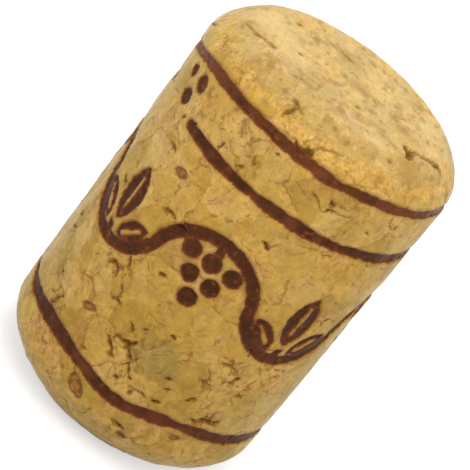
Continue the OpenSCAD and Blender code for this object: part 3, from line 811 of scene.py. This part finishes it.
sidePaint = {
    "olive": 0.9, "softness": 0.3, "growthReach": 2.0, "growthTurns": 16.0,
    "growth": 0.03, "speckle": 0.42, "fragment": 0.06,                      # shares of the shade
    "fades": {"tintShare": ("z", (5, 9, 1, 0.55)), "mottle": ("mottle", (0.3, 0.72, 0.85, 1.11)),
              # rise is painted shade near the foot and painted light near the head, as if lit from above
              "growthShown": ("granuleHue", (0.4, 0.8)), "rise": ("z", (5, 31, -0.08, 0.04)),
              # the left and right fades lay painted pale sheen on the flanks
              "leftPaintedSheen": ("x", (-7, -11.5)), "rightPaintedSheen": ("x", (7.5, 11.5))},
    "layers": [("hue", (0.52, 0.7), "pink", "tintShare"), ("hue", (0.46, 0.3), "green", "tintShare"),
               # painted bounce light from the floor on the foot's rounding
               ("z", (4.6, 2.7, 0, 0.5), "footPale")],
}


def sideColour(nodes, at):
    # a soft tone for each granule x the sum of mottle, a painted top light that rises with height, growth
    # lines, specks and fragments; painted pale sheen on the flanks
    paint = sidePaint
    soft = nodes.channels(nodes.cells(at["bent"], grain["granuleScale"], "SMOOTH_F1",
                                      Smoothness=paint["softness"])["Color"])
    ramp = nodes.node("ShaderNodeValToRGB", {"Fac": soft[0]})
    stops = ramp.color_ramp.elements
    stops[0].position, stops[0].color = corkLook["granules"][0]
    stops[1].position, stops[1].color = corkLook["granules"][-1]
    for position, colour in corkLook["granules"][1:-1]:
        stops.new(position).color = colour
    at["granuleHue"] = soft[2]
    fades = fadesOf(nodes, at, paint)
    at["tintShare"] = fades["tintShare"]
    colour = nodes.mix(nodes.times(at["olive"], paint["olive"]), ramp.outputs[0], corkLook["olive"])
    colour = painted(nodes, at, colour, paint)
    granule = nodes.cells(at["bent"], grain["granuleScale"])["Color"]
    fragment = nodes.channels(nodes.cells(at["shifted"], grain["fragmentScale"])["Color"])
    growthAcross = nodes.vector("DOT_PRODUCT", at["bent"], nodes.vectorCentred(granule, paint["growthReach"]))
    growth = nodes.times(nodes.calc("SINE", nodes.times(growthAcross, paint["growthTurns"])),
                         fades["growthShown"], paint["growth"])
    shade = nodes.plus(fades["mottle"], nodes.centred(at["speckle"], paint["speckle"]), fades["rise"], growth,
                       nodes.centred(fragment[1], paint["fragment"]))
    colour = nodes.shaded(colour, shade)
    # painted pale sheen on the flanks
    for tint in ("leftPaintedSheen", "rightPaintedSheen"):
        colour = nodes.mix(fades[tint], colour, corkLook[tint], "MULTIPLY")
    return colour


cutPaint = {
    "lineOnRim": 0.5, "lineOnFlat": 0.15, "gritOnRim": 0.68, "gritOnFlat": 0.5,
    "fades": {"lineShown": ("linePatch", (0.44, 0.58))},
    "layers": [
        ("blotch", (0.42, 0.6), "cutPale"), ("crumb", (0.5, 0.36, 0, 0.7), "cutWarm"),
        ("y", (1, -8, 0, 0.6), "cutFront"), ("endDark", (0.53, 0.68, 0, 0.65), "cutDark"),
        ("endGreen", (0.5, 0.34, 0, 0.6), "cutGreen"), ("bits", (0.54, 0.68, 0, 0.8), "cutPink"),
        ("bits", (0.44, 0.32, 0, 0.8), "cutDark"), ("patch", (0.3, 0.6), "rim", "rim"),
        ("fleck", (0.56, 0.68, 0, 0.8), "rimPale", "rim"),
        ("lineAway", (0.035, 0), "rimDark", "lineShown", "lineShare"),
        ("headTone", (0, 1, 0, 0.7), "cutBrown"), ("headTone", (0, -1, 0, 0.7), "cutLight"),
        ("crumb", (0.3, 0.6, 0.3, 0.8), "cutSpot", "headSpot"),
        ("rimBlot", (0.5, 0.34, 0, 0.75), "rimDark", "rim"),
    ],
}


def cutColour(nodes, at):
    # pale crumbs in soft blotches, with a golden worn rim of bright flecks, and dark lines where a noise
    # passes through 0.5, all x (1 + grit)
    paint = cutPaint
    at.update(fadesOf(nodes, at, paint))
    at["lineShare"] = nodes.timesPlus(at["rim"], paint["lineOnRim"], paint["lineOnFlat"])
    at["lineAway"] = nodes.calc("ABSOLUTE", nodes.calc("SUBTRACT", at["line"], 0.5))
    colour = painted(nodes, at, corkLook["cutGrey"], paint)
    grit = nodes.centred(at["speckle"], nodes.timesPlus(at["rim"], paint["gritOnRim"], paint["gritOnFlat"]))
    return nodes.shaded(colour, nodes.plus(grit, 1.0))


jointPaint = {
    "ragged": 0.5, "line": (0.16, 0), "gap": (0.11, 0.02),
    "lineShare": 0.62, "lineMore": 0.3,              # the second is added where joints gape
    "weights": [("granuleAway", 1.0), ("fragmentAway", 0.5)],
    # the first fade places the painted highlight beside the joints
    "fades": {"paintedJointHighlight": ("granuleAway", (0.5, 0.1, 0, 0.4)), "patch": ("jointPatch", (0.38, 0.54)),
              "breaks": ("thin", (0.4, 0.56)), "gapeBreaks": ("thin", (0.36, 0.54)),
              "onCut": ("cut", (0.5, 0.95, 1, 0.25)), "swell": ("jointSwell", (0.52, 0.68, 0, 0.2)),
              "gapShown": ("gape", (0.3, 0.9, 0, 0.8))},
}


def addJoints(nodes, at, colour):
    # painted highlights as pale lit edges beside gaping joints, soft broken lines where they are tight, and
    # dark gaps where they gape.
    # A joint is as far away as the nearest edge between cells + ragged noise - its swelling.
    paint, fades = jointPaint, fadesOf(nodes, at, jointPaint)
    colour = nodes.mix(nodes.times(fades["paintedJointHighlight"], at["gape"]), colour, corkLook["paintedJointHighlight"])
    tight = nodes.times(fades["patch"], fades["breaks"])
    loose = nodes.times(at["gape"], fades["gapeBreaks"])
    shown = nodes.times(nodes.calc("MAXIMUM", tight, loose), fades["onCut"])
    swell = nodes.times(fades["swell"], at["gape"])
    for name, weight in paint["weights"]:
        away = nodes.calc("SUBTRACT", nodes.timesPlus(at["ragged"], paint["ragged"], at[name]), swell)
        strength = nodes.timesPlus(at["gape"], paint["lineMore"], paint["lineShare"] * weight)
        line = nodes.times(nodes.fade(away, *paint["line"]), shown, strength)
        colour = nodes.mix(line, colour, corkLook["joint"])
        gap = nodes.times(nodes.fade(away, *paint["gap"]), fades["gapShown"], shown, weight)
        colour = nodes.mix(gap, colour, corkLook["gap"])
    return colour


speckPaint = {
    "scale": 1.0, "radius": (0.45, 1, 0, 0.2), "edge": (0, -0.12),
    "share": 0.5, "gapeMore": 0.3,                   # the second is added where joints gape
    "fades": {"onCut": ("cut", (0.5, 0.95, 1, 0.7))},
}


def addSpecks(nodes, at, colour):
    # small round specks in some cells: distance to the cell's middle - a radius by chance
    paint = speckPaint
    found = nodes.cells(at["bent"], paint["scale"])
    radius = nodes.fade(nodes.channels(found["Color"])[0], *paint["radius"])
    speck = nodes.fade(nodes.calc("SUBTRACT", found["Distance"], radius), *paint["edge"])
    share = nodes.timesPlus(at["gape"], paint["gapeMore"], paint["share"])
    return nodes.mix(nodes.times(speck, share, fadesOf(nodes, at, paint)["onCut"]), colour, corkLook["speck"])


flawPaint = {
    "ragged": 0.5, "stain": (0.2, 0, 0, 0.5), "crack": (0.08, -0.08, 0, 0.85), "deep": (-0.02, -0.16),
    "fades": {"bark": ("bark", (0.45, 0.6, 0, 0.7)), "pocketMiddle": ("pocketAway", (-0.26, -0.06, 0, 0.6)),
              "pocket": ("pocketAway", (0.1, -0.1, 0, 0.9)), "jag": ("cut", (0.3, 0.8, 0.9, 0.4)),
              "crackWidth": ("thin", (0.36, 0.62, 0.6, 1.25)), "deepBreaks": ("thin", (0.4, 0.58, 0.2, 1))},
}


def addFlaws(nodes, at, colour):
    # bark pockets, and cracks at |signed distance + noise| - half width x noise, all with ragged edges
    paint, look = flawPaint, corkLook
    at["pocketAway"] = nodes.plus(at["pocket"], at["ragged"])
    fades = fadesOf(nodes, at, paint)
    bark = nodes.mix(fades["bark"], look["pocket"], look["pocketDark"])
    bark = nodes.mix(fades["pocketMiddle"], bark, look["pocketDark"])
    bark = nodes.mix(at["cut"], bark, look["cutHollow"])
    colour = nodes.mix(fades["pocket"], colour, bark)
    signedDistance, halfWidth, _ = nodes.axes(nodes.attribute("crackLine", "Vector"))
    jag = nodes.centred(at["jag"], fades["jag"])
    aside = nodes.plus(signedDistance, nodes.timesPlus(at["ragged"], paint["ragged"], jag))
    at["crackAway"] = nodes.calc("SUBTRACT", nodes.calc("ABSOLUTE", aside),
                                 nodes.times(halfWidth, fades["crackWidth"]))
    hollow = nodes.mix(at["cut"], look["hollow"], look["cutHollow"])
    hollowDeep = nodes.mix(at["cut"], look["hollowDeep"], look["cutHollowDeep"])
    colour = nodes.mix(nodes.fade(at["crackAway"], *paint["stain"]), colour, look["joint"])
    colour = nodes.mix(nodes.fade(at["crackAway"], *paint["crack"]), colour, hollow)
    deep = nodes.times(nodes.fade(at["crackAway"], *paint["deep"]), fades["deepBreaks"])
    return nodes.mix(deep, colour, hollowDeep)


burnPaint = {
    "thin": 0.2, "ragged": 0.4, "slowChar": 0.8,
    "droopSlope": -1.2, "droopStart": -13.2,          # the head ring drops at the left
    "fades": {"charRise": ("z", (28.5, 31.5, 0.48, 0.95)), "underHeadRing": ("z", (29, 31, 1, 0)),
              "headRing": ("z", (29.5, 31)), "headRingLeft": ("zDrooped", (31.1, 31.4)),
              "scorch": ("burnEdge", (0.32, 0, 0, 0.35)), "burnShare": ("burnEdge", (0.07, -0.07))},
    "layers": [
        ("charMix", (0.74, 1.1), "burnPale", "charRise"), ("z", (28, 32, 0, 0.45), "burnPale"),
        # painted shade darkening the char on the flanks, below the head ring
        ("flankX", (8.5, 11.6, 0, 0.7), "burnFlank", "underHeadRing"),
        ("x", (-8, -11, 0, 0.75), "burnFleck", "headRingLeft"),
        ("patch", (0.5, 0.6, 0, 0.75), "burn", "headRing"), ("charFleck", (0.55, 0.7, 0, 0.7), "burnFleck"),
        ("charTone", (0, 1, 0, 0.5), "burnFleck"), ("charTone", (0, -1, 0, 0.9), "burn"),
        ("burnEdge", (-0.26, -0.04, 0, 0.5), "scorch"),
    ],
}


def addBurns(nodes, at, colour):
    # a reddish scorched edge round dark char with paler flecks. The head ring is where z is high, or at its
    # dropped left where z + the larger of 0 and slope x + start is high.
    paint = burnPaint
    at["burnEdge"] = nodes.plus(at["burnField"], nodes.centred(at["thin"], paint["thin"]),
                                nodes.times(at["ragged"], paint["ragged"]))
    at["charMix"] = nodes.timesPlus(at["slowChar"], paint["slowChar"], at["quickChar"])
    at["flankX"] = nodes.calc("ABSOLUTE", at["x"])
    droop = nodes.calc("MAXIMUM", nodes.timesPlus(at["x"], paint["droopSlope"], paint["droopStart"]), 0.0)
    at["zDrooped"] = nodes.plus(at["z"], droop)
    at.update(fadesOf(nodes, at, paint))
    char = painted(nodes, at, corkLook["burn"], paint)
    return nodes.mix(at["burnShare"], nodes.mix(at["scorch"], colour, corkLook["scorch"]), char)


fineRelief = {
    "strength": 0.8,
    "speckle": 0.05, "mottle": 0.05, "crumb": 0.08, "fleck": 0.14,    # mm
    "fades": {"joint": ("granuleAway", (0, 0.14, -0.025, 0)), "crack": ("crackAway", (0.06, -0.1, 0, -0.06)),
              "burn": ("burnEdge", (0.06, -0.08, 0, -0.05))},
}


def fineHeight(nodes, at):
    # height over the mesh: each noise x its height, less the joints, the cracks and the burnt marks
    return nodes.plus(nodes.times(at["speckle"], fineRelief["speckle"]),
                      nodes.times(at["mottle"], fineRelief["mottle"]),
                      nodes.times(at["crumb"], at["cut"], fineRelief["crumb"]),
                      nodes.times(at["fleck"], at["rim"], fineRelief["fleck"]),
                      *fadesOf(nodes, at, fineRelief).values())


def corkMaterial():
    # the side's colour and the cut ends' colour mixed by cut, under joints, specks, flaws and burns
    look = corkLook
    material, nodes = newMaterial("agglomeratedCork")
    at = readFields(nodes)
    colour = nodes.mix(at["cut"], sideColour(nodes, at), cutColour(nodes, at))
    for addPart in (addJoints, addSpecks, addFlaws, addBurns):
        colour = addPart(nodes, at, colour)
    bump = nodes.node("ShaderNodeBump", {"Height": fineHeight(nodes, at), "Strength": fineRelief["strength"],
                                         "Distance": millimetre})
    roughness = nodes.timesPlus(at["cut"], look["cutRoughness"], look["roughness"])
    roughness = nodes.timesPlus(at["burnShare"], look["burnRoughness"], roughness)
    shader = nodes.node("ShaderNodeBsdfPrincipled", {
        "Base Color": colour, "Roughness": roughness, "Normal": bump.outputs[0],
        "Specular IOR Level": look["specular"], "Sheen Weight": look["sheen"],
        "Sheen Roughness": look["sheenRoughness"], "Sheen Tint": look["sheenTint"]})
    nodes.node("ShaderNodeOutputMaterial", {"Surface": shader.outputs[0]})
    return material


corkMesh.materials.append(corkMaterial())
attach(corkBody, "root")
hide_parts("stopper")
print("cork finished")


# Camera
camera = {
    "elevation": 25.09,                # degrees above the horizon
    "distance": 183.714, "aimHeight": 17.685,
    "roll": 37.91,
    "tilt": -0.004,                    # radians
    "lens": 169.09, "sensor": 36.0,    # mm
    "clip": (0.005, 20),               # metres
}


def makeCamera():
    # placed at (0, -cos(elevation), sin(elevation)) x distance from its aim, then tilted and rolled
    elevation, roll = math.radians(camera["elevation"]), math.radians(camera["roll"])
    place = Vector((0, -math.cos(elevation) * camera["distance"],
                    camera["aimHeight"] + math.sin(elevation) * camera["distance"])) * millimetre
    data = bpy.data.cameras.new("studioCamera")
    data.lens, data.sensor_width = camera["lens"], camera["sensor"]
    data.clip_start, data.clip_end = camera["clip"]
    made = bpy.data.objects.new("studioCamera", data)
    upright = Matrix.Rotation(math.pi / 2 - elevation, 4, "X")
    turnedBy = Matrix.Rotation(-camera["tilt"], 4, "X") @ Matrix.Rotation(roll, 4, "Z")
    made.matrix_world = Matrix.Translation(place) @ upright @ turnedBy
    bpy.context.scene.collection.objects.link(made)
    bpy.context.scene.camera = made


makeCamera()


# Floor, lamps and world
studio = {
    "floorSize": 4.0,       # metres
    "floorDrop": 0.02, "floorColour": 0.52, "floorGlow": 0.58,
    "worldStrength": 0.48, "worldSeen": 1.0, "worldColour": (1.0, 1.0, 1.0, 1),
}
# name: (place in metres, size, power)
lamps = {
    "topSoftbox": ((-0.05, -0.10, 0.5), 0.4, 0.78),
    "nearSoftbox": ((0.0, -0.09, 0.14), 0.08, 0.046),
    "leftSoftbox": ((-0.2, -0.1, 0.15), 0.12, 0.13),
    "rightSoftbox": ((0.2, -0.1, 0.15), 0.12, 0.11),
    "backSoftbox": ((0.05, 0.5, 0.35), 0.35, 1.2),
}


def makeFloor():
    # a square just under the stopper, whose glow is seen but lights nothing
    half, low = studio["floorSize"] / 2, -studio["floorDrop"] * millimetre
    mesh = bpy.data.meshes.new("studioFloor")
    mesh.from_pydata([(-half, -half, low), (half, -half, low), (half, half, low), (-half, half, low)], [],
                     [(0, 1, 2, 3)])
    floor = bpy.data.objects.new("studioFloor", mesh)
    bpy.context.scene.collection.objects.link(floor)
    material, nodes = newMaterial("paleFloor")
    path = nodes.node("ShaderNodeLightPath").outputs
    seen = nodes.calc("MAXIMUM", path["Is Camera Ray"], path["Is Glossy Ray"])
    seen = nodes.calc("MAXIMUM", seen, path["Is Transmission Ray"])
    matt = nodes.node("ShaderNodeBsdfDiffuse", {"Color": (*[studio["floorColour"]] * 3, 1)}).outputs[0]
    glow = nodes.node("ShaderNodeEmission", {"Color": (1, 1, 1, 1),
                                             "Strength": nodes.times(seen, studio["floorGlow"])}).outputs[0]
    both = nodes.node("ShaderNodeAddShader", {0: matt, 1: glow}).outputs[0]
    nodes.node("ShaderNodeOutputMaterial", {"Surface": both})
    mesh.materials.append(material)


def makeLamps():
    # round soft lamps, each turned to the stopper's middle
    aim = Vector((0, 0, stopperHeight / 2 * millimetre))
    for name, (place, size, power) in lamps.items():
        data = bpy.data.lights.new(name, "AREA")
        data.shape, data.size, data.energy = "DISK", size, power
        lamp = bpy.data.objects.new(name, data)
        lamp.location = place
        lamp.rotation_euler = (Vector(place) - aim).to_track_quat("Z", "Y").to_euler()
        lamp.visible_camera = False
        bpy.context.scene.collection.objects.link(lamp)


def makeWorld():
    # white where the camera sees it, and softer as light
    world = bpy.data.worlds.new("studioWorld")
    world.use_nodes = True
    nodes = NodeWriter(world.node_tree)
    seen = nodes.node("ShaderNodeLightPath").outputs["Is Camera Ray"]
    strength = nodes.node("ShaderNodeMapRange", {"Value": seen, "To Min": studio["worldStrength"],
                                                 "To Max": studio["worldSeen"]}).outputs[0]
    sky = nodes.node("ShaderNodeBackground", {"Color": studio["worldColour"], "Strength": strength})
    nodes.node("ShaderNodeOutputWorld", {"Surface": sky.outputs[0]})
    bpy.context.scene.world = world


makeFloor()
makeLamps()
makeWorld()
bpy.context.scene.view_settings.view_transform = "Standard"
print("studio set up")
